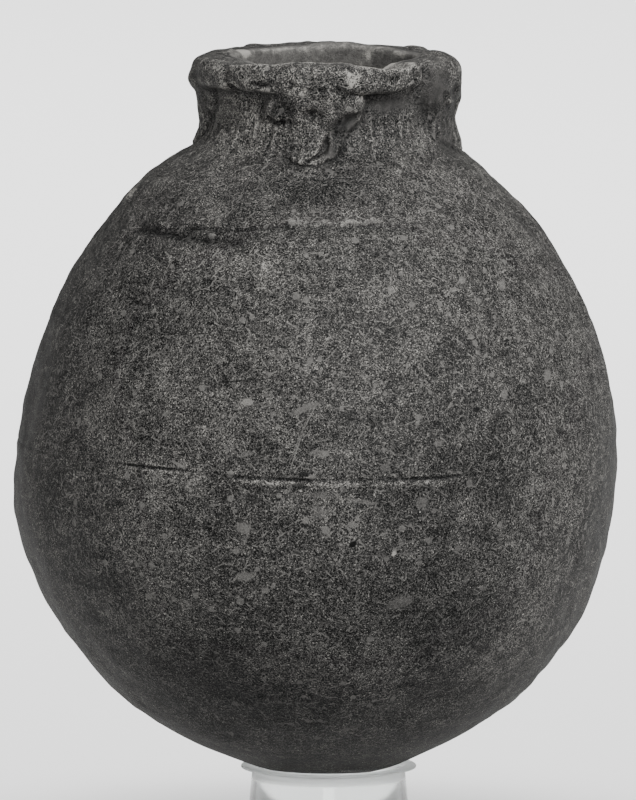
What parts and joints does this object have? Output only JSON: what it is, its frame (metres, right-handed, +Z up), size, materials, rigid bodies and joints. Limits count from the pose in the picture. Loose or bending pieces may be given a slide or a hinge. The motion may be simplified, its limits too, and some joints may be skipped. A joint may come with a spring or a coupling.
{
  "type": "pottery jar with bulls' heads on a ring stand",
  "caption": "Round-bottomed dark grey pottery jar with bulls' heads in relief under the mouth, whose horns run round the rim, standing in a clear ring.",
  "frame": {"origin": "on the ground, under the middle of the whole", "axes": "+Z up, -Y towards the viewer of the front head, +X to that viewer's right"},
  "size_m": [0.3009, 0.3006, 0.3838],
  "materials": {
    "pottery": "burnished, worn matt",
    "clear_acrylic": "polished clear"
  },
  "bodies": {
    "root": {"vase": "pottery", "ring_stand": "clear_acrylic"}
  },
  "joints": []
}
